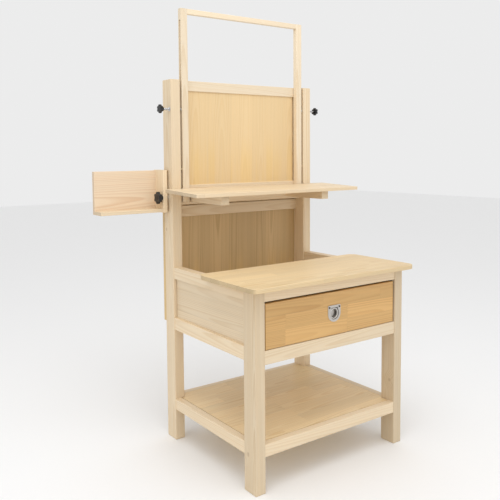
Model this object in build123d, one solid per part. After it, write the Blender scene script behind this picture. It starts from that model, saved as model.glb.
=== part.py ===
"""Painter's workstation easel in pine: table base with shelf, drawer and bin, and a panelled mast.

Everything is first laid out in a bench frame: X runs across the front from the middle of the base,
Y runs back from the front faces of the front legs, and Z is up from the floor.  The last step moves
the whole easel so that the origin is the middle of its overall footprint, on the floor.
"""
import math
import os

from build123d import *

# ---------------------------------------------------------------- driving dimensions, millimetres
BASE_W = 660.0            # over the outer faces of the legs
BASE_D = 550.0            # front face of the front legs to back face of the posts
LEG_W = 38.0              # leg and post section, across
LEG_D = 60.0              # leg and post section, front to back
DECK_Z = 643.0            # top of the front legs and top rails
POST_Z = 1320.0           # top of the posts

RAIL_T = 24.0             # thickness of the rails between the legs
RAIL_INSET = 2.0          # rails stand back from the leg faces
UPPER_RAIL_T = 34.0       # the two side rails under the tabletop are thicker
SHELF_Z = (115.0, 155.0)              # shelf rails, bottom and top
FRONT_LOW_Z = (406.0, 450.0)          # rail under the drawer
SIDE_LOW_Z = (414.0, 458.0)           # side and back rails at drawer height
UPPER_Z = (602.0, DECK_Z)             # rails under the tabletop

SHELF_BOARD_T = 15.0
SHELF_GAP = 1.5           # joint around the shelf board
SIDE_PANEL_T = 9.0
SIDE_PANEL_INSET = 12.0   # outer face of the side panels, in from the leg faces
SIDE_PANEL_SLOT = 2.0     # joint between a side panel and its post
GROOVE = 6.0              # depth of every panel groove

TOP_T = 15.0              # tabletop
TOP_X = (-371.0, 342.0)
TOP_Y = (-51.0, 260.0)
TOP_CORNER = 30.0

BIN_FLOOR_Z = (560.0, 569.0)
BIN_FRONT_Y = (238.0, 250.0)
BACK_T = 15.0             # board panel behind the posts
BACK_Z = (437.0, 905.0)

DRAWER_TOP_GAP = 7.0
DRAWER_SIDE_GAP = 5.0
DRAWER_LOW_GAP = 1.5
DRAWER_SETBACK = 4.0      # drawer front stands back from the leg faces
DRAWER_FRONT_T = 18.0
DRAWER_WALL = 12.0
DRAWER_BOX_W = 560.0
DRAWER_BOX_Z = (453.0, 553.0)
DRAWER_BACK_Y = 440.0
DRAWER_FLOOR_T = 5.0

HOOP_W = 567.0            # over the outer faces of the hoop's stiles
HOOP_STILE_W = 27.0
HOOP_Y = (491.5, 510.5)
HOOP_Z = (878.0, 1573.0)
HOOP_BAR_H = 18.0
HOOP_TENON = 16.0
HOOP_GROOVE = (8.6, 5.0)  # width and depth of the guide groove in each stile

FRAME_Y = (512.0, 532.0)  # fixed frame of the mast panel
FRAME_TOP_Z = (1283.0, POST_Z)
FRAME_LOW_Z = (868.0, 940.0)
FRAME_STILE_W = 43.0
FRAME_LIP_W = 27.0
MAST_PANEL_Y = (517.0, 525.0)
MAST_PANEL_GAP = 8.0      # shadow gap between the mast panel and the frame stiles
LOW_RAIL_Z = (821.0, 862.0)
LOW_RAIL_T = 14.0

TRAY_X = (-358.0, 396.0)
TRAY_Y = (280.0, BASE_D - LEG_D)
TRAY_Z = (907.0, 919.0)   # underside and top along the front edge
TRAY_RISE = 2.6           # degrees the tray climbs towards the mast
ARM_X = 232.0             # middle of each tray arm from the middle of the mast
ARM_W = 32.0
ARM_LOW_Z = 877.0
ARM_FRONT_Y = 295.0

SIDE_BOX_X = (-594.0, -336.0)         # outer end and the face next to the post
SIDE_BOX_Y = (514.0, 584.0)
SIDE_BOX_Z = (843.0, 997.0)
SIDE_BOX_END_T = 18.0
SIDE_BOX_BACK_T = 14.0
SIDE_BOX_LEDGE_T = 12.0

STUD_R = 4.0              # M8 studs
STUD_HOLE_R = 4.06
KNOB_LOBES = 6
CLAMP_Z = {"left": 1214.0, "right": 1226.0}      # knobs that hold the hoop
CLAMP_STAND_OFF = {"left": 26.0, "right": 23.0}  # from the post's face to the knob's foot
CLAMP_KNOB_R = 15.5
BOX_KNOB_R = 22.0
BOX_PIVOT = (521.0, 897.0)            # Y and Z of the knob that holds the side box
PIN_Z = 1000.0            # guide pins below the clamps

PULL_Z = 523.5            # ring pull, middle of its plate
PULL_W = 56.0
PULL_T = 2.0
CUP_R = 20.0
CUP_DEPTH = 9.0
SHOULDER = 16.0           # half width of the recess where the pin crosses it
RING_R = 16.4             # middle of the ring's bar
RING_BAR_R = 2.8

CLEAT = 16.0              # square strips that carry the shelf and the bin floor
CLEAT_Y = (70.0, 480.0)
INSERT_L = 14.0           # threaded inserts in the posts
INSERT_R = 6.0
EASE = 1.5                # eased long edges of the boards
DOWEL_R = 4.0
DOWEL_L = 32.0

# ---------------------------------------------------------------- derived places
OUT_X = BASE_W / 2
IN_X = OUT_X - LEG_W
POST_Y = BASE_D - LEG_D
HOOP_X = HOOP_W / 2
CLAMP_Y = sum(HOOP_Y) / 2
SIDES = {"left": -1, "right": 1}

parts = {}
dowels = []
cleats = []
inserts = []


# ---------------------------------------------------------------- helpers
def block(x, y, z):
    """A plain box from three (low, high) pairs, given in either order."""
    sizes = [abs(pair[1] - pair[0]) for pair in (x, y, z)]
    middles = [(pair[1] + pair[0]) / 2 for pair in (x, y, z)]
    return Pos(*middles) * Box(*sizes)


def board(x, y, z, grain, ease=EASE):
    """A board whose long edges, along the grain axis, are eased."""
    body = block(x, y, z)
    return fillet(body.edges().filter_by(grain), ease)


def rod(radius, start, end, axis):
    """A round bar along one axis; start and end are full points."""
    length = math.dist(start, end)
    middle = [(a + b) / 2 for a, b in zip(start, end)]
    turn = {Axis.X: Rot(0, 90, 0), Axis.Y: Rot(90, 0, 0), Axis.Z: Rot(0, 0, 0)}[axis]
    return Pos(*middle) * turn * Cylinder(radius, length)


def dowel_pair(point, axis, spread, spread_axis):
    """Two dowels across one butt joint, spread either side of the point."""
    half = Vector(*axis) * (DOWEL_L / 2)
    line = {0: Axis.X, 1: Axis.Y, 2: Axis.Z}[max(range(3), key=lambda i: abs(axis[i]))]
    for step in (-spread / 2, spread / 2):
        middle = Vector(*point) + Vector(*spread_axis) * step
        dowels.append(rod(DOWEL_R, tuple(middle - half), tuple(middle + half), line))


def mirror_x(pair, sign):
    return (pair[0] * sign, pair[1] * sign)


# ---------------------------------------------------------------- legs, posts and rails
def make_uprights():
    for side, sign in SIDES.items():
        across = mirror_x((IN_X, OUT_X), sign)
        leg = board(across, (0, LEG_D), (0, DECK_Z), Axis.Z, ease=2.0)
        post = board(across, (POST_Y, BASE_D), (0, POST_Z), Axis.Z, ease=2.0)
        foot = 1.5
        parts[f"leg_front_{side}"] = chamfer(leg.faces().sort_by(Axis.Z)[0].edges(), foot)
        post = chamfer(post.faces().sort_by(Axis.Z)[0].edges(), foot)
        parts[f"post_{side}"] = chamfer(post.faces().sort_by(Axis.Z)[-1].edges(), foot)


def cross_rail(name, y_face, z, facing):
    """A rail between two uprights, its show face set back from y_face."""
    show = y_face - facing * RAIL_INSET
    parts[name] = board((-IN_X, IN_X), (show, show - facing * RAIL_T), z, Axis.X)
    middle_y = show - facing * RAIL_T / 2
    for sign in SIDES.values():
        point = (sign * IN_X, middle_y, sum(z) / 2)
        dowel_pair(point, (1, 0, 0), 20, (0, 0, 1))


def side_rail(name, sign, z, thick):
    """A rail between a front leg and the post behind it."""
    show = sign * (OUT_X - RAIL_INSET)
    parts[name] = board((show, show - sign * thick), (LEG_D, POST_Y), z, Axis.Y)
    middle_x = show - sign * thick / 2
    for y in (LEG_D, POST_Y):
        dowel_pair((middle_x, y, sum(z) / 2), (0, 1, 0), 20, (0, 0, 1))


def make_rails():
    cross_rail("shelf_rail_front", 0, SHELF_Z, facing=-1)
    cross_rail("shelf_rail_back", BASE_D, SHELF_Z, facing=1)
    cross_rail("drawer_rail_front", 0, FRONT_LOW_Z, facing=-1)
    cross_rail("drawer_rail_back", BASE_D, SIDE_LOW_Z, facing=1)
    cross_rail("top_rail_front", 0, UPPER_Z, facing=-1)
    for side, sign in SIDES.items():
        side_rail(f"shelf_rail_{side}", sign, SHELF_Z, RAIL_T)
        side_rail(f"drawer_rail_{side}", sign, SIDE_LOW_Z, RAIL_T)
        side_rail(f"top_rail_{side}", sign, UPPER_Z, UPPER_RAIL_T)


# ---------------------------------------------------------------- shelf, side panels, tabletop, bin
def make_shelf():
    edge_x = OUT_X - RAIL_INSET - RAIL_T - SHELF_GAP
    y = (RAIL_INSET + RAIL_T + SHELF_GAP, BASE_D - RAIL_INSET - RAIL_T - SHELF_GAP)
    z = (SHELF_Z[1] - SHELF_BOARD_T, SHELF_Z[1])
    shelf = block((-edge_x, edge_x), y, z)
    for sign in SIDES.values():
        clear_x = (sign * (IN_X - SHELF_GAP), sign * OUT_X)
        shelf -= block(clear_x, (0, LEG_D + SHELF_GAP), z)
        shelf -= block(clear_x, (POST_Y - SHELF_GAP, BASE_D), z)
    parts["shelf_board"] = shelf
    for sign in SIDES.values():
        inner = sign * (OUT_X - RAIL_INSET - RAIL_T)
        cleats.append(block((inner, inner - sign * CLEAT), CLEAT_Y, (z[0] - CLEAT, z[0])))


def make_side_panels():
    for side, sign in SIDES.items():
        face = sign * (OUT_X - SIDE_PANEL_INSET)
        panel = block((face, face - sign * SIDE_PANEL_T), (LEG_D, POST_Y - SIDE_PANEL_SLOT),
                      (SIDE_LOW_Z[1] - GROOVE, UPPER_Z[0] + GROOVE))
        parts[f"side_panel_{side}"] = panel
        for rail in (f"drawer_rail_{side}", f"top_rail_{side}"):
            parts[rail] -= panel


def make_tabletop():
    x, y = TOP_X, TOP_Y
    top = block(x, y, (DECK_Z, DECK_Z + TOP_T))
    top = fillet(top.edges().filter_by(Axis.Z), TOP_CORNER)
    rims = top.edges().filter_by(GeomType.LINE).filter_by(Axis.Z, reverse=True)
    outline = rims + top.edges().filter_by(GeomType.CIRCLE)
    parts["tabletop"] = fillet(outline, 2.0)


def make_bin():
    """The open bin behind the tabletop, with the board panel behind it."""
    inner = OUT_X - SIDE_PANEL_INSET - SIDE_PANEL_T
    floor = block((-inner, inner), (BIN_FRONT_Y[0], BASE_D), BIN_FLOOR_Z)
    for sign in SIDES.values():
        floor -= block(mirror_x((IN_X, OUT_X), sign), (POST_Y, BASE_D), BIN_FLOOR_Z)
        cleat_x = (sign * inner, sign * (inner - CLEAT))
        cleat_z = (BIN_FLOOR_Z[0] - CLEAT, BIN_FLOOR_Z[0])
        cleats.append(block(cleat_x, (BIN_FRONT_Y[0], POST_Y - SIDE_PANEL_SLOT), cleat_z))
    parts["bin_floor"] = floor
    rail_in = OUT_X - RAIL_INSET - UPPER_RAIL_T
    parts["bin_front"] = block((-rail_in, rail_in), BIN_FRONT_Y, (BIN_FLOOR_Z[1], DECK_Z))
    parts["back_boards"] = board((-OUT_X, OUT_X), (BASE_D, BASE_D + BACK_T), BACK_Z, Axis.Z)


# ---------------------------------------------------------------- drawer and its ring pull
def make_drawer():
    front_x = IN_X - DRAWER_SIDE_GAP
    front_y = (DRAWER_SETBACK, DRAWER_SETBACK + DRAWER_FRONT_T)
    front_z = (FRONT_LOW_Z[1] + DRAWER_LOW_GAP, UPPER_Z[0] - DRAWER_TOP_GAP)
    front = block((-front_x, front_x), front_y, front_z)
    front = fillet(front.faces().sort_by(Axis.Y)[0].edges(), 1.2)
    parts["drawer_front"] = front
    box_x = DRAWER_BOX_W / 2
    y = (front_y[1], DRAWER_BACK_Y)
    floor_z = (DRAWER_BOX_Z[0] + 6, DRAWER_BOX_Z[0] + 6 + DRAWER_FLOOR_T)
    slot = 5.0
    in_x = box_x - DRAWER_WALL
    floor = block((-in_x - slot, in_x + slot), (y[0], y[1] - DRAWER_WALL + slot), floor_z)
    for side, sign in SIDES.items():
        wall_x = mirror_x((in_x, box_x), sign)
        parts[f"drawer_side_{side}"] = block(wall_x, y, DRAWER_BOX_Z) - floor
    back_y = (y[1] - DRAWER_WALL, y[1])
    parts["drawer_back"] = block((-in_x, in_x), back_y, DRAWER_BOX_Z) - floor
    parts["drawer_floor"] = floor


def make_runners():
    """An L-shaped runner on each side: the drawer slides on its foot and is steered by its wall."""
    runners = []
    for side, sign in SIDES.items():
        rail_in = sign * (OUT_X - RAIL_INSET - RAIL_T)
        y = (LEG_D, POST_Y)
        foot_x = (rail_in, sign * (DRAWER_BOX_W / 2 - 16))
        wall_x = (rail_in, sign * (DRAWER_BOX_W / 2 + 2))
        top_z = DRAWER_BOX_Z[0] - 1
        runner = block(foot_x, y, (top_z - 14, top_z)) + block(wall_x, y, (top_z - 14, top_z + 24))
        runners.append(runner - parts[f"side_panel_{side}"])
    parts["drawer_runners"] = Compound(runners)


def pull_outline(grow=0.0):
    """Shield shape of the pull: straight top and sides, half-round bottom."""
    half = PULL_W / 2 + grow
    top = 28.0 + grow
    with BuildSketch(Plane.XZ) as sketch:
        with BuildLine():
            Polyline((half, 0), (half, top), (-half, top), (-half, 0))
            ThreePointArc((-half, 0), (0, -half), (half, 0))
        make_face()
        fillet(sketch.vertices().group_by(Axis.Z)[-1], 4.0)
    return sketch.sketch


def well(grow, y0, y1):
    """The pull's recess: round below, with square shoulders above that carry the ring's pin."""
    radius = CUP_R + grow
    half = SHOULDER + grow
    round_part = rod(radius, (0, y0, PULL_Z), (0, y1, PULL_Z), Axis.Y)
    return round_part + block((-half, half), (y0, y1), (PULL_Z, PULL_Z + radius))


def make_pull():
    """A flush ring pull: plate with a sunk cup, and a ring on a pin across the cup's top."""
    face_y = DRAWER_SETBACK
    shell = 1.2
    cup_end = face_y + CUP_DEPTH
    plate = Pos(0, face_y, PULL_Z) * extrude(pull_outline(), PULL_T)
    plate = fillet(plate.faces().sort_by(Axis.Y)[0].edges(), 0.8)
    cup = plate + well(shell, face_y - 0.01, cup_end + shell)
    cup -= well(0, face_y - 3 * PULL_T, cup_end)
    pivot = (face_y + 1.2, PULL_Z + RING_R)
    pin_half = SHOULDER + shell
    pin = rod(1.0, (-pin_half, *pivot), (pin_half, *pivot), Axis.X)
    parts["drawer_front"] -= well(shell + 0.2, face_y - 1, cup_end + shell + 0.2)

    screws = []
    for sign in (-1, 1):
        spot = (sign * (PULL_W / 2 - 6.0), PULL_Z + 21.0)
        shank = rod(1.6, (spot[0], face_y - PULL_T, spot[1]), (spot[0], face_y + 12, spot[1]), Axis.Y)
        head = Pos(spot[0], face_y - PULL_T - 0.6, spot[1]) * Rot(90, 0, 0) * Cylinder(3.2, 1.2)
        head = fillet(head.faces().sort_by(Axis.Y)[0].edges(), 0.5)
        slot = block((spot[0] - 2.4, spot[0] + 2.4), (face_y - PULL_T - 1.3, face_y - PULL_T - 0.6),
                     (spot[1] - 0.4, spot[1] + 0.4))
        screws.append(head + shank - slot)
        cup -= shank
        parts["drawer_front"] -= shank
    parts["pull_plate"] = cup - pin
    parts["pull_screws"] = Compound(screws)
    parts["pull_pin"] = pin

    ring = Pos(0, pivot[0], PULL_Z) * Rot(90, 0, 0) * Torus(RING_R, RING_BAR_R)
    ring += rod(RING_BAR_R - 0.2, (-5.6, *pivot), (5.6, *pivot), Axis.X)
    parts["pull_ring"] = ring - rod(1.05, (-20, *pivot), (20, *pivot), Axis.X)


# ---------------------------------------------------------------- mast
def make_mast_frame():
    front, back = FRAME_Y
    inner = IN_X
    top = board((-inner, inner), FRAME_Y, FRAME_TOP_Z, Axis.X)
    low = board((-inner, inner), FRAME_Y, FRAME_LOW_Z, Axis.X)
    panel_half = inner - FRAME_LIP_W - MAST_PANEL_GAP
    panel = block((-panel_half, panel_half), MAST_PANEL_Y,
                  (FRAME_LOW_Z[1] - GROOVE, FRAME_TOP_Z[0] + GROOVE))
    parts["mast_panel"] = panel
    parts["mast_rail_top"] = top - panel
    parts["mast_rail_low"] = low - panel
    for side, sign in SIDES.items():
        x = (sign * inner, sign * (inner - FRAME_LIP_W))
        stile = block(x, FRAME_Y, (FRAME_LOW_Z[1], FRAME_TOP_Z[0]))
        lip_x = (sign * inner, sign * (inner - FRAME_STILE_W))
        stile += block(lip_x, (MAST_PANEL_Y[1], back), (FRAME_LOW_Z[1], FRAME_TOP_Z[0]))
        parts[f"mast_stile_{side}"] = stile
        middle_y = (front + back) / 2
        for z in (FRAME_TOP_Z, FRAME_LOW_Z):
            dowel_pair((sign * inner, middle_y, sum(z) / 2), (1, 0, 0), 18, (0, 0, 1))
    parts["mast_rail_back"] = board((-inner, inner), (BASE_D - LOW_RAIL_T, BASE_D), LOW_RAIL_Z, Axis.X)


def make_tray():
    """The tray climbs a little towards the mast, on two arms cut to its slope."""
    tray = block(TRAY_X, TRAY_Y, TRAY_Z)
    front_corners = tray.edges().filter_by(Axis.Z).sort_by(Axis.Y)[:2]
    tray = fillet(front_corners, 8.0)
    tray = fillet(tray.faces().sort_by(Axis.Z)[-1].edges().filter_by(Axis.X), EASE)
    front_edge = Pos(0, TRAY_Y[0], TRAY_Z[0])
    climb = front_edge * Rot(TRAY_RISE, 0, 0) * front_edge.inverse()
    parts["tray"] = climb * tray
    above = climb * block(TRAY_X, (TRAY_Y[0], BASE_D), (TRAY_Z[0], TRAY_Z[0] + ARM_W))
    screws = []
    screw_z = ARM_LOW_Z + 12
    for side, sign in SIDES.items():
        x = sign * ARM_X
        arm = block((x - ARM_W / 2, x + ARM_W / 2), (ARM_FRONT_Y, FRAME_Y[0]), (ARM_LOW_Z, TRAY_Z[1]))
        arm = fillet(arm.faces().sort_by(Axis.Y)[0].edges().filter_by(Axis.Z), EASE) - above
        for step in (-8, 8):
            head_y = FRAME_Y[1]
            shank = rod(2.5, (x + step, head_y - 55, screw_z), (x + step, head_y, screw_z), Axis.Y)
            head = Pos(x + step, head_y + 1.5, screw_z) * Rot(90, 0, 0) * Cylinder(5.0, 3.0)
            head = fillet(head.faces().sort_by(Axis.Y)[-1].edges(), 1.0)
            screws.append(head + shank)
            arm -= shank
            parts["mast_rail_low"] -= shank
        parts[f"tray_arm_{side}"] = arm
    parts["tray_arm_screws"] = Compound(screws)


# ---------------------------------------------------------------- sliding hoop and its clamps
def make_hoop():
    outer = HOOP_X
    inner = HOOP_X - HOOP_STILE_W
    width, depth = HOOP_GROOVE
    for side, sign in SIDES.items():
        stile = board(mirror_x((inner, outer), sign), HOOP_Y, HOOP_Z, Axis.Z, ease=1.0)
        groove_y = (CLAMP_Y - width / 2, CLAMP_Y + width / 2)
        groove_x = mirror_x((outer - depth, outer + 1), sign)
        stile -= block(groove_x, groove_y, (HOOP_Z[0] - 1, HOOP_Z[1] - 40))
        parts[f"hoop_stile_{side}"] = stile
    bar_z = (HOOP_Z[1] - HOOP_BAR_H, HOOP_Z[1])
    bar_y = (HOOP_Y[0] + 0.5, HOOP_Y[1] - 0.5)
    bar = board((-inner, inner), bar_y, bar_z, Axis.X, ease=1.0)
    tenon_z = (bar_z[0] + 4, bar_z[1] - 4)
    tenon = block((-inner - HOOP_TENON, inner + HOOP_TENON), (CLAMP_Y - 5, CLAMP_Y + 5), tenon_z)
    parts["hoop_bar"] = bar + tenon
    for side in SIDES:
        parts[f"hoop_stile_{side}"] -= tenon


def star_knob(radius, thick, boss_r, boss_l, hole_depth):
    """A lobed grip on a boss; it stands on the XY plane and its stud hole opens downwards."""
    with BuildSketch(Plane.XY.offset(boss_l)) as outline:
        Circle(radius * 0.80)
        with PolarLocations(radius * 0.72, KNOB_LOBES):
            Circle(radius * 0.28)
        fillet(outline.vertices(), radius * 0.14)
    grip = extrude(outline.sketch, thick)
    faces = grip.faces().sort_by(Axis.Z)
    grip = fillet(faces[-1].edges() + faces[0].edges(), radius * 0.08)
    knob = grip + Pos(0, 0, boss_l / 2 + 0.5) * Cylinder(boss_r, boss_l + 1)
    return knob - Pos(0, 0, hole_depth / 2) * Cylinder(STUD_R, hole_depth)


def along(sign, y, z):
    """Makes round bars along X through one point of the YZ plane, measured outward from the middle."""
    def bar(radius, x0, x1):
        return rod(radius, (sign * x0, y, z), (sign * x1, y, z), Axis.X)
    return bar


def threaded_insert(side, y, z, flange):
    """A flanged insert let into the outer face of a post, and the hole behind it."""
    bar = along(SIDES[side], y, z)
    bore = bar(STUD_HOLE_R, IN_X, OUT_X + 2 * flange)
    sleeve = bar(INSERT_R, OUT_X - INSERT_L, OUT_X)
    inserts.append(sleeve + bar(INSERT_R + 2.0, OUT_X, OUT_X + flange) - bore)
    parts[f"post_{side}"] -= sleeve


def make_clamps():
    """Two star knobs whose studs pass through the posts into the grooves of the hoop."""
    pad_l = 3.0
    pad_gap = 0.4
    groove_x = HOOP_X - HOOP_GROOVE[1]
    knob = star_knob(CLAMP_KNOB_R, 10.0, 7.5, 7.0, 12.0)
    for side, sign in SIDES.items():
        z = CLAMP_Z[side]
        stand_off = CLAMP_STAND_OFF[side]
        bar = along(sign, CLAMP_Y, z)
        threaded_insert(side, CLAMP_Y, z, flange=1.2)
        parts[f"post_{side}"] -= bar(STUD_R + 0.5, IN_X - 1, OUT_X)
        tip = groove_x + pad_gap + pad_l
        stud = bar(STUD_R, tip, OUT_X + stand_off + 12)
        parts[f"clamp_stud_{side}"] = chamfer(stud.edges(), 0.6)
        parts[f"clamp_pad_{side}"] = bar(STUD_R, tip - pad_l, tip - 0.05)
        foot = Pos(sign * (OUT_X + stand_off), CLAMP_Y, z)
        parts[f"clamp_knob_{side}"] = foot * Rot(0, 90 * sign, 0) * knob
        pin = along(sign, CLAMP_Y, PIN_Z)(DOWEL_R, groove_x + 0.5, IN_X + 20)
        dowels.append(pin)


# ---------------------------------------------------------------- side box
def make_side_box():
    """An open box for brushes, held to the left post by one knob through its end board."""
    outer, near = SIDE_BOX_X
    front, back = SIDE_BOX_Y
    low, high = SIDE_BOX_Z
    end_face = near - SIDE_BOX_END_T
    bar = along(-1, *BOX_PIVOT)
    end = board((end_face, near), SIDE_BOX_Y, SIDE_BOX_Z, Axis.Z)
    parts["side_box_end"] = end - bar(STUD_HOLE_R, OUT_X, 2 * OUT_X)
    inner_back = back - SIDE_BOX_BACK_T
    ledge_z = (low + 2, low + 2 + SIDE_BOX_LEDGE_T)
    parts["side_box_back"] = board((outer, end_face), (inner_back, back), (ledge_z[0], high - 2), Axis.X)
    parts["side_box_ledge"] = board((outer, end_face), (front, inner_back), ledge_z, Axis.X)

    face_gap = -near - OUT_X
    threaded_insert("left", *BOX_PIVOT, flange=face_gap - 0.4)
    parts["post_left"] -= bar(STUD_R + 0.5, OUT_X - 30, OUT_X)
    outside = -end_face
    washer = bar(10.0, outside + 0.3, outside + 2.1) - bar(STUD_HOLE_R, outside, outside + 3)
    parts["side_box_washer"] = washer
    knob_foot = outside + 2.2
    stud = bar(STUD_R, OUT_X - 22, knob_foot + 14)
    parts["side_box_stud"] = chamfer(stud.edges(), 0.6)
    knob = star_knob(BOX_KNOB_R, 12.0, 9.0, 9.0, 14.0)
    parts["side_box_knob"] = Pos(-knob_foot, *BOX_PIVOT) * Rot(0, -90, 0) * knob


def overlap(one, other):
    """True where two bounding boxes share space."""
    low = [max(a, b) for a, b in zip(tuple(one.min), tuple(other.min))]
    high = [min(a, b) for a, b in zip(tuple(one.max), tuple(other.max))]
    return all(h > l for l, h in zip(low, high))


def peg_the_joints():
    """Cuts every dowel's hole in the boards it crosses, then keeps the dowels as one group."""
    wooden = ("leg_", "post_", "shelf_rail", "drawer_rail", "top_rail", "mast_rail")
    for name in [name for name in parts if name.startswith(wooden)]:
        for peg in dowels:
            if overlap(peg.bounding_box(), parts[name].bounding_box()):
                parts[name] -= peg
    parts["frame_dowels"] = Compound(dowels)


def main():
    make_uprights()
    make_rails()
    make_shelf()
    make_side_panels()
    make_tabletop()
    make_bin()
    make_drawer()
    make_runners()
    make_pull()
    make_mast_frame()
    make_tray()
    make_hoop()
    make_clamps()
    make_side_box()
    peg_the_joints()
    parts["support_cleats"] = Compound(cleats)
    parts["post_inserts"] = Compound(inserts)
    x_middle = (SIDE_BOX_X[0] + TRAY_X[1]) / 2
    y_middle = (TOP_Y[0] + SIDE_BOX_Y[1]) / 2
    to_origin = Pos(-x_middle, -y_middle, 0)
    os.makedirs("parts", exist_ok=True)
    for name, shape in parts.items():
        export_step(to_origin * shape, f"parts/{name}.step")
    print(len(parts), "nodes; bench frame to row frame:", -x_middle, -y_middle)


main()
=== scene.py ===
# %% [markdown]
# # An easel bench in pale pine
# A floor-standing painter's bench: a base with a worktop, a drawer and a shelf, and a mast that
# carries a tray, a panel, a sliding hoop for the canvas and a small tilting box. Every board
# already has its true shape and its place in the engineering model, so this lesson is mostly
# about finish: timber that is solid wood all the way through, steel, nickel and plastic.

# %% Load the model
import bpy
import bmesh
import math
import random
from mathutils import Matrix, Vector


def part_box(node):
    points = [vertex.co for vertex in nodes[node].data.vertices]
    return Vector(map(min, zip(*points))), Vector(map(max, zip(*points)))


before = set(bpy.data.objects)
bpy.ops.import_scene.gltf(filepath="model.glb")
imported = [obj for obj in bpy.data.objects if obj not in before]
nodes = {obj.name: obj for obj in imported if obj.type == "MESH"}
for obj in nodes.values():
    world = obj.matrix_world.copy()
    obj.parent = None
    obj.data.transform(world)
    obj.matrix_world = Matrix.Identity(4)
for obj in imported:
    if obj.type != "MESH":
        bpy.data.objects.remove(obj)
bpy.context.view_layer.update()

# %% [markdown]
# ## Writing a material as sums
# A wood pattern is a page of arithmetic. Wiring it by hand in the node editor is slow and hard
# to read, and one long list of nodes in code is no better. Here a small class wraps one socket
# and gives it Python's own operators, so `1 - mask` adds a Math node, and one method adds any
# other node. The formulas below can then be read as formulas.

# %% A socket with arithmetic, and a material to write
class Wire:
    """One value inside a material. Arithmetic on it adds Math nodes."""

    def __init__(self, recipe, node, output=0):
        self.recipe, self.node = recipe, node
        self.socket = node.outputs[output] if node.outputs else None

    def out(self, output):
        return Wire(self.recipe, self.node, output)

    def math(self, operation, *values):
        return self.recipe.add("ShaderNodeMath", {"operation": operation}, dict(enumerate(values)))

    def __add__(self, other): return self.math("ADD", self, other)
    def __radd__(self, other): return self.math("ADD", other, self)
    def __sub__(self, other): return self.math("SUBTRACT", self, other)
    def __rsub__(self, other): return self.math("SUBTRACT", other, self)
    def __mul__(self, other): return self.math("MULTIPLY", self, other)
    def __rmul__(self, other): return self.math("MULTIPLY", other, self)
    def __truediv__(self, other): return self.math("DIVIDE", self, other)
    def __rtruediv__(self, other): return self.math("DIVIDE", other, self)
    def floor(self): return self.math("FLOOR", self)
    def part(self): return self.math("FRACT", self)
    def size(self): return self.math("ABSOLUTE", self)
    def root(self): return self.math("SQRT", self)

    def rise(self, low, high):
        """0 below low, 1 above high, an easy curve between."""
        return self.recipe.add("ShaderNodeMapRange", {"interpolation_type": "SMOOTHSTEP"},
                               {"Value": self, "From Min": low, "From Max": high})


class Recipe:
    """A material that is written one node at a time."""

    def __init__(self, name):
        self.material = bpy.data.materials.new(name)
        self.material.use_nodes = True
        self.tree = self.material.node_tree
        self.tree.nodes.clear()

    def add(self, kind, settings=None, sockets=None, output=0):
        node = self.tree.nodes.new(kind)
        for key, value in (settings or {}).items():
            setattr(node, key, value)
        for key, value in (sockets or {}).items():
            if isinstance(value, Wire):
                self.tree.links.new(value.socket, node.inputs[key])
            else:
                node.inputs[key].default_value = value
        return Wire(self, node, output)

    def vector(self, x, y, z):
        return self.add("ShaderNodeCombineXYZ", {}, {"X": x, "Y": y, "Z": z})

    def plus(self, a, b):
        return self.add("ShaderNodeVectorMath", {"operation": "ADD"}, {0: a, 1: b})

    def noise(self, place, detail=2.0, roughness=0.5):
        return self.add("ShaderNodeTexNoise", {}, {
            "Vector": place, "Scale": 1.0, "Detail": detail, "Roughness": roughness})

    def luck(self, x, y=0.0, z=0.0):
        """One random value, and a random colour, for each whole-number place."""
        return self.add("ShaderNodeTexWhiteNoise", {"noise_dimensions": "3D"},
                        {"Vector": self.vector(x, y, z)})

    def scaled(self, place, scale, start=(0, 0, 0)):
        """The place inside a pattern that repeats scale times a metre on X, Y and Z."""
        return self.add("ShaderNodeMapping", {}, {
            "Vector": place, "Location": start, "Scale": scale})

    def mix(self, factor, a, b):
        return self.add("ShaderNodeMix", {"data_type": "RGBA"}, {0: factor, 6: a, 7: b}, output=2)

    def shade(self, colour, tone):
        return self.add("ShaderNodeVectorMath", {"operation": "SCALE"}, {0: colour, "Scale": tone})

    def finish(self, height, bump, distance, **sockets):
        """Ends in one shader, its surface raised by height."""
        normal = self.add("ShaderNodeBump", {}, {
            "Height": height, "Strength": bump, "Distance": distance})
        shader = self.add("ShaderNodeBsdfPrincipled", {}, {"Normal": normal, **sockets})
        self.add("ShaderNodeOutputMaterial", {}, {"Surface": shader})
        return self.material


def wear(name, material):
    """Puts a material on every slot of one piece."""
    slots = nodes[name].material_slots
    for slot in slots:
        slot.material = material
    if not slots:
        nodes[name].data.materials.append(material)


print("Wire adds Math nodes, and Recipe adds any node")

# %% [markdown]
# ## Timber that is wood all through
# A flat picture of wood can't turn a corner: its lines stop at the edge, and the ends of the
# board show the same stripes as its face. The real thing is a slice of a log, so the pattern is
# made as one. The rings are circles round a pith that lies beside the board, so a face shows
# long lines or tall arches, an edge shows straight lines, and an end shows arcs, and they all
# meet at the corners with no seams. Noise stretched along the grain adds the fibres.
#
# Worktops, drawer fronts and panels are glued up from narrow staves, often finger-jointed end
# to end. Each stave then comes from its own log: its number goes through white noise, which
# moves its pith and changes its tone.

# %% Staves, glued side by side and end to end
AXES = "XYZ"
FINGER_PITCH = 0.006      # one finger of an end joint, across the stave
FINGER_DEPTH = 0.012
SIDE_SEAM = 0.0006        # half width of a glue line between staves
END_SEAM = 0.0008


def grain_axes(size, grain):
    """The axis along the grain, the wider one across the board, and the one through it."""
    along = AXES.index(grain)
    rest = sorted((i for i in range(3) if i != along), key=lambda i: -size[i])
    return along, rest[0], rest[1]


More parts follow.
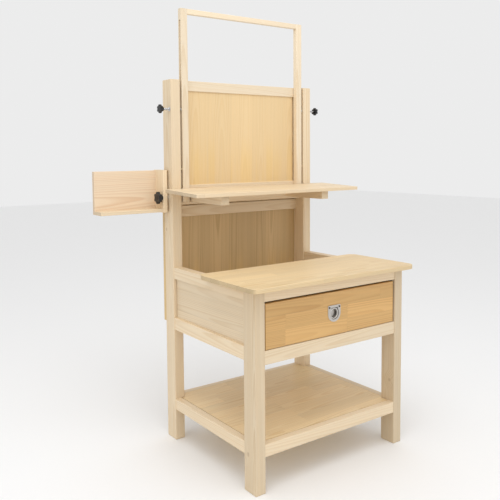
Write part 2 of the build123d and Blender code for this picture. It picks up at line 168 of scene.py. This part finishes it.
def staves(wood, along, across, lane, block, seed):
    """Splits a panel into glued staves: place inside the stave, its luck, and its seams."""
    row = across / lane + 0.5
    inside = (row.part() - 0.5) * lane
    fingers = ((across / FINGER_PITCH).part() - 0.5).size() * FINGER_DEPTH
    step = (along + fingers) / block + wood.luck(row.floor(), seed) * 7.0
    luck = wood.luck(row.floor(), step.floor(), seed)
    side_seam = 1 - ((0.5 - (row.part() - 0.5).size()) * lane).rise(0.0, SIDE_SEAM)
    end_seam = 1 - ((0.5 - (step.part() - 0.5).size()) * block).rise(0.0, END_SEAM)
    return inside, luck, side_seam + end_seam * 0.6


print("a finger joint is", FINGER_DEPTH * 1000, "mm deep")

# %% [markdown]
# ## One board's wood
# Four noises share the board's place. A slow one bends the rings, as the trunk was never quite
# round. A fine one along the grain is the fibre, a very fine one the pores, and a broad one the
# clouds of tone that a long board shows. A knot pushes the rings aside and darkens its core.
# Late wood, the dark part of each ring, comes up slowly and stops at once, which is what tells
# pine from a set of plain stripes.

# %% The timber material
SWAY = 0.016              # how far the rings wander, in metres
BOW = 1.5                 # and how far in rings
GRAIN_HEIGHT = 0.0004
GRAIN_BUMP = 0.35
FIBRE_TONE = 0.20         # how much each noise lightens or darkens the wood
CLOUD_TONE = 0.18
PORE_TONE = 0.08
SEAM_SHADE = 0.22
RESIN = (0.80, 0.56, 0.22, 1)
KNOT = (0.30, 0.16, 0.07, 1)


def timber(name, grain, pale, dark, seed, ring=0.0042, contrast=1.0, lane=None, block=9.0,
           stave_tone=0.16, knots=(), end_tone=0.86, tone=1.0, gold=0.0):
    """Solid pine for one piece. Lengths in metres; knots are (along, across, radius).

    Gold is how strongly broad, resin-yellow patches colour the lower end of an upright board.
    """
    low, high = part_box(name)
    dice = random.Random(seed)
    i_along, i_across, i_through = grain_axes(high - low, grain)
    wood = Recipe(name + "_pine")
    place = wood.add("ShaderNodeTexCoord", output="Object")
    turn = [math.radians(dice.uniform(0.5, 1.5) * dice.choice((-1, 1))) for _ in AXES]
    turn[i_along] = 0.0
    local = wood.add("ShaderNodeMapping", {"vector_type": "TEXTURE"},
                     {"Vector": place, "Location": (low + high) / 2, "Rotation": turn})
    split = wood.add("ShaderNodeSeparateXYZ", {}, {"Vector": local})
    along, across, through = (split.out(i) for i in (i_along, i_across, i_through))

    seams = 0.0
    stave_luck = dice.random()
    shift = [dice.uniform(0, 50) for _ in AXES]
    pith_u, pith_v = dice.uniform(-0.03, 0.03), dice.choice((-1, 1)) * dice.uniform(0.02, 0.05)
    if lane:
        across, luck, seams = staves(wood, along, across, lane, block, seed)
        colour = luck.out("Color")
        parts = wood.add("ShaderNodeSeparateColor", {}, {"Color": colour})
        pith_u, pith_v = (parts - 0.5) * 0.07, parts.out(1) * 0.045 + 0.012
        stave_luck = parts.out(2)
        shift = wood.shade(colour, 40.0)

    def stretched(lengthwise, crosswise, detail, roughness=0.5):
        spread = wood.vector(along * lengthwise, across * crosswise, through * crosswise)
        return wood.noise(wood.plus(spread, shift), detail, roughness)

    sway = wood.add("ShaderNodeSeparateColor", {}, {"Color": stretched(1.7, 7.0, 1.5).out("Color")})
    u = across - pith_u + (sway - 0.5) * SWAY
    v = through - pith_v + (sway.out(1) - 0.5) * SWAY
    rings = (u * u + v * v).root() / ring + (sway.out(2) - 0.5) * BOW
    core = 0.0
    for knot_along, knot_across, radius in knots:
        d_along, d_across = (along - knot_along) * 0.7, across - knot_across
        reach = (d_along * d_along + d_across * d_across).root()
        rings = rings + (1 - reach.rise(0.0, radius * 6)) * 3.0
        core = core + (1 - reach.rise(radius * 0.55, radius * 1.2))
    late = rings.part().rise(0.25, 0.85) * (1 - rings.part().rise(0.90, 1.0))
    late = late * (0.35 + 0.65 * wood.luck(rings.floor(), seed))

    fibre = stretched(2.4, 150.0, 3.0, 0.6)
    pores = stretched(35.0, 1300.0, 1.0)
    cloud = stretched(1.1, 9.0, 2.0)
    facing = wood.add("ShaderNodeSeparateXYZ", {}, {"Vector": place.out("Normal")}, output=i_along)
    end = facing.size().rise(0.5, 0.9)

    wood_colour = wood.mix((late * 0.62 + (fibre - 0.35) * 0.35) * contrast, pale, dark)
    if gold:
        patch = stretched(1.6, 22.0, 2.0).rise(0.42, 0.62) * (1 - along.rise(-0.10, 0.04))
        wood_colour = wood.mix(patch * gold, wood_colour, RESIN)
    if knots:
        wood_colour = wood.mix(core * 0.35, wood_colour, KNOT)
    light = (tone + (fibre - 0.5) * (FIBRE_TONE * contrast) + (pores - 0.5) * PORE_TONE
             + (cloud - 0.5) * (CLOUD_TONE * contrast) + (stave_luck - 0.5) * stave_tone)
    light = light * (1 - end * (1 - end_tone)) * (1 - seams * SEAM_SHADE)
    height = pores * 0.5 + fibre * 0.5 + late * 0.35 - seams
    return wood.finish(height, GRAIN_BUMP, GRAIN_HEIGHT, **{
        "Base Color": wood.shade(wood_colour, light),
        "Roughness": 0.5 + (pores - 0.5) * 0.2 - late * 0.05 + end * 0.15,
        "Specular IOR Level": 0.4})


def cut(names_and_grains, palette, first_seed, **choices):
    """Gives each named board the next seed, so that no two come from the same log."""
    for seed, (name, grain) in enumerate(names_and_grains.items()):
        wear(name, timber(name, grain, *palette, seed=first_seed + seed, **choices))
    print(", ".join(names_and_grains))

# %% [markdown]
# ## Which wood goes where
# The frame is clear, creamy pine, the hoop is paler, the back of the side box is a little pinker,
# and the worktop and shelf are a little yellower. The panel in the mast is a warmer yellow still,
# with resin-gold patches low down. The drawer front is the most orange. The boards behind the bin
# are the brownest and darkest, with painted shade in their colour. Each colour is a pale spring
# wood and a darker summer wood.

# %% The timbers' colours
MILK = ((0.79, 0.67, 0.50, 1), (0.66, 0.49, 0.29, 1))
CREAM = ((0.79, 0.65, 0.46, 1), (0.63, 0.44, 0.23, 1))
BLUSH = ((0.80, 0.64, 0.46, 1), (0.64, 0.41, 0.24, 1))
BUTTER = ((0.79, 0.62, 0.38, 1), (0.65, 0.43, 0.18, 1))
HONEY = ((0.80, 0.60, 0.34, 1), (0.68, 0.45, 0.19, 1))
AMBER = ((0.71, 0.44, 0.175, 1), (0.52, 0.27, 0.085, 1))
# SHADED is darker and browner than the other pine: painted shade for the boards behind the bin.
SHADED = ((0.62, 0.45, 0.235, 1), (0.44, 0.29, 0.125, 1))
print("seven timbers, from milk to shaded")

# %% [markdown]
# ## The frame of the base
# Legs and posts are sawn upright, and rails lengthwise, because wood is strong only along its
# grain. So the grain axis is Z for the uprights, X for rails across the front and back, and Y
# for rails at the sides. Three of the uprights have one small knot each.

# %% Legs and posts
upright = {"leg_front_left": [(-0.20, 0.006, 0.006)], "leg_front_right": [(-0.09, -0.01, 0.005)],
           "post_left": [(0.12, 0.016, 0.005)], "post_right": []}
for seed, (name, knots) in enumerate(upright.items()):
    # Posts are painted a little lighter and legs a little darker, from one pine: painted light high
    # up and painted shade low down.
    tone = 1.03 if name.startswith("post") else 0.90
    wear(name, timber(name, "Z", *CREAM, seed=11 + seed, contrast=0.9, knots=knots, tone=tone))
print(sum(len(knots) for knots in upright.values()), "knots in", len(upright), "uprights")

# %% Rails
cut({"shelf_rail_front": "X", "shelf_rail_back": "X", "drawer_rail_front": "X",
     "drawer_rail_back": "X", "top_rail_front": "X"}, CREAM, 21, contrast=0.8)
cut({"shelf_rail_left": "Y", "shelf_rail_right": "Y", "drawer_rail_left": "Y",
     "drawer_rail_right": "Y", "top_rail_left": "Y", "top_rail_right": "Y"},
    CREAM, 31, contrast=0.8)

# %% [markdown]
# ## Wide boards
# No tree gives a board as wide as the worktop, and one that wide would warp. It is glued up from
# staves, like the shelf, the tray, the panels and the drawer front. The lane is a stave's width
# and the block its length between finger joints. The side panels, the panel in the mast and the
# boards behind the bin have long staves with no end joints in them.

# %% Panels glued from staves
wear("shelf_board", timber("shelf_board", "X", *BUTTER, seed=41, lane=0.062, block=0.33,
                           stave_tone=0.14, tone=1.04))
wear("tabletop", timber("tabletop", "X", *BUTTER, seed=42, lane=0.048, block=0.42, stave_tone=0.13,
                        end_tone=0.72))
wear("tray", timber("tray", "X", *CREAM, seed=43, lane=0.05, block=0.45, stave_tone=0.14,
                    end_tone=0.75))
# tone 0.94 paints the side panels a little darker: painted shade low on the bench.
cut({"side_panel_left": "Y", "side_panel_right": "Y"}, CREAM, 44, lane=0.078, contrast=0.8,
    stave_tone=0.06, tone=0.94)
wear("drawer_front", timber("drawer_front", "X", *AMBER, seed=47, lane=0.048, block=0.27,
                            stave_tone=0.22, contrast=0.9))
wear("mast_panel", timber("mast_panel", "Z", *HONEY, seed=48, lane=0.105, stave_tone=0.07,
                          contrast=0.6, gold=0.45))
# The boards behind the bin take the SHADED colours, with painted shade in them.
wear("back_boards", timber("back_boards", "Z", *SHADED, seed=49, lane=0.092, stave_tone=0.14,
                           contrast=0.9, gold=0.3))
print(sum(m.name.endswith("_pine") for m in bpy.data.materials), "boards have their own pine")

# %% [markdown]
# ## The mast and the side box
# The mast's narrow stiles, the tray's arms and the hoop are straight-grained, quiet pieces, so
# their contrast is low and the hoop's rings are close together. The back of the side box shows
# wider rings, as one board sawn near the middle of its log does.

# %% Mast, hoop, tray arms and side box
cut({"mast_rail_low": "X", "mast_rail_back": "X", "mast_stile_left": "Z", "mast_stile_right": "Z",
     "tray_arm_left": "Y", "tray_arm_right": "Y", "side_box_end": "Z"}, CREAM, 51, contrast=0.75)
cut({"hoop_stile_left": "Z", "hoop_stile_right": "Z", "hoop_bar": "X", "mast_rail_top": "X"},
    MILK, 58, contrast=0.7, ring=0.0036)
cut({"side_box_back": "X"}, BLUSH, 65, contrast=0.8, ring=0.0055)
cut({"side_box_ledge": "X"}, CREAM, 66)

# %% Inside work that is seldom seen
# tone 0.95 paints the inside pieces, the bin among them, a little darker: painted shade inside the
# bench.
cut({"bin_floor": "X", "bin_front": "X", "drawer_side_left": "Y", "drawer_side_right": "Y",
     "drawer_back": "X", "drawer_floor": "X", "drawer_runners": "Y", "support_cleats": "Y",
     "frame_dowels": "X"}, CREAM, 71, tone=0.95)

# %% [markdown]
# ## Steel, nickel and moulded plastic
# The inserts and screws are bright steel with faint turning marks. The studs are plain round bars
# in the engineering model, so their threads are grooves in the material. The ring pull is satin
# nickel, brushed from side to side, and its two screws are blackened. The knobs are black plastic
# with the fine, dull skin that a mould leaves. A metal's colour is almost even, so its life comes
# from roughness.

# %% Metals and plastics
def brushed(name, tint, rough, spread, seed, pitch=None):
    """Metal with marks stretched along one direction: spread is the noise scale on X, Y and Z.

    A pitch cuts thread grooves across X, one every so many metres.
    """
    metal = Recipe(name)
    place = metal.add("ShaderNodeTexCoord", output="Object")
    marks = metal.noise(metal.scaled(place, spread, start=(seed, 0, 0)), 3.0, 0.6)
    smudge = metal.noise(metal.scaled(place, (60, 60, 60)), 2.0)
    height, bump, depth = marks, 0.15, 0.0001
    if pitch:
        x = metal.add("ShaderNodeSeparateXYZ", {}, {"Vector": place})
        height, bump, depth = ((x / pitch).part() - 0.5).size() + marks * 0.1, 0.9, 0.0008
    darker = [c * 0.8 for c in tint[:3]] + [1]
    return metal.finish(height, bump, depth, **{
        "Base Color": metal.mix(smudge * 0.6 + marks * 0.4, tint, darker),
        "Metallic": 1.0, "Roughness": rough + (marks - 0.5) * 0.25 + (smudge - 0.5) * 0.15})


def moulded(name, tint, rough):
    """Plastic with a fine skin from its mould, and broad patches wiped duller or brighter."""
    plastic = Recipe(name)
    place = plastic.add("ShaderNodeTexCoord", output="Object")
    skin = plastic.noise(plastic.scaled(place, (1400, 1400, 1400)), 2.0)
    wipe = plastic.noise(plastic.scaled(place, (70, 70, 70)), 2.0)
    paler = [c * 1.5 for c in tint[:3]] + [1]
    return plastic.finish(skin, 0.25, 0.0002, **{
        "Base Color": plastic.mix(wipe, tint, paler),
        "Roughness": rough + (wipe - 0.5) * 0.2 + (skin - 0.5) * 0.1})


THREAD_PITCH = 0.00125
steel = brushed("bright_steel", (0.72, 0.72, 0.73, 1), 0.26, (2500, 60, 60), 3)
thread = brushed("threaded_steel", (0.70, 0.70, 0.71, 1), 0.28, (2500, 60, 60), 4,
                 pitch=THREAD_PITCH)
nickel = brushed("satin_nickel", (0.66, 0.63, 0.59, 1), 0.36, (40, 1500, 1500), 5)
dark = brushed("dark_steel", (0.10, 0.09, 0.08, 1), 0.4, (900, 900, 60), 6)
black = moulded("black_plastic", (0.010, 0.010, 0.011, 1), 0.38)
nylon = moulded("white_nylon", (0.55, 0.55, 0.53, 1), 0.5)
hardware = ((steel, ("side_box_washer", "post_inserts", "tray_arm_screws", "pull_pin")),
            (thread, ("clamp_stud_left", "clamp_stud_right", "side_box_stud")),
            (nickel, ("pull_plate", "pull_ring")),
            (dark, ("pull_screws",)),
            (black, ("clamp_knob_left", "clamp_knob_right", "side_box_knob")),
            (nylon, ("clamp_pad_left", "clamp_pad_right")))
for material, names in hardware:
    for name in names:
        wear(name, material)
print(sum(len(names) for _, names in hardware), "small parts in", len(hardware), "finishes")

# %% [markdown]
# ## Floor and light
# A pale floor and a pale world keep the bench free of hard shadows. One wide softbox overhead
# makes the worktop, tray and shelf read, and two weaker ones, from the front and the left, keep
# the faces towards the camera legible. The Standard view keeps the wood's own colours.

# %% The floor
FLOOR_HALF = 12.0
floor_mesh = bmesh.new()
bmesh.ops.create_grid(floor_mesh, x_segments=1, y_segments=1, size=FLOOR_HALF)
floor = bpy.data.objects.new("floor", bpy.data.meshes.new("floor"))
floor_mesh.to_mesh(floor.data)
floor_mesh.free()
bpy.context.scene.collection.objects.link(floor)
paper = Recipe("floor_paper")
place = paper.add("ShaderNodeTexCoord", output="Object")
tooth = paper.noise(paper.scaled(place, (90, 90, 90)), 2.0)
floor.data.materials.append(paper.finish(tooth, 0.05, 0.0002, **{
    "Base Color": paper.mix(tooth, (0.93, 0.93, 0.93, 1), (0.91, 0.91, 0.91, 1)),
    "Roughness": 0.9}))
print("floor", 2 * max(v.co.x for v in floor.data.vertices), "m across")

# %% The lights
bpy.context.scene.view_settings.view_transform = "Standard"
world = bpy.data.worlds.new("studio")
world.use_nodes = True
sky = world.node_tree.nodes["Background"].inputs
sky["Color"].default_value = (1, 1, 1, 1)
sky["Strength"].default_value = 0.84
bpy.context.scene.world = world
middle = Vector((0, 0, 0.8))


def softbox(name, where, size, power):
    """A rectangular lamp of so many watts, aimed at the middle of the bench."""
    light = bpy.data.lights.new(name, "AREA")
    light.shape = "RECTANGLE"
    light.size, light.size_y = size
    light.energy = power
    lamp = bpy.data.objects.new(name, light)
    lamp.location = where
    lamp.rotation_euler = (middle - Vector(where)).to_track_quat("-Z", "Y").to_euler()
    bpy.context.scene.collection.objects.link(lamp)


softbox("overhead", (-0.7, -1.0, 2.9), (1.8, 1.8), 25)
softbox("front", (0.6, -3.6, 2.6), (2.4, 2.0), 10)
softbox("left", (-3.4, -0.4, 2.4), (2.0, 2.0), 6)
print(len(bpy.data.lights), "softboxes")

# %% [markdown]
# ## The camera
# It stands a little above the worktop, to the left of the bench, turned towards the mast.
# Its turn and tilt are kept as angles, so that the view can be read from the numbers.

# %% Camera
lens = bpy.data.cameras.new("camera")
lens.lens, lens.sensor_width = 45.87, 36.0
lens.shift_x, lens.shift_y = 0.0376, -0.0972
camera = bpy.data.objects.new("camera", lens)
turn_right, tilt_down, roll = 0.6065, 0.0729, -0.0093
camera.matrix_world = (Matrix.Translation((-1.3599, -1.7746, 1.0489))
                       @ Matrix.Rotation(-turn_right, 4, "Z")
                       @ Matrix.Rotation(math.pi / 2 - tilt_down, 4, "X")
                       @ Matrix.Rotation(roll, 4, "Z"))
bpy.context.scene.collection.objects.link(camera)
bpy.context.scene.camera = camera
print("camera", round(camera.matrix_world.translation.length, 2), "m from the middle of the floor")
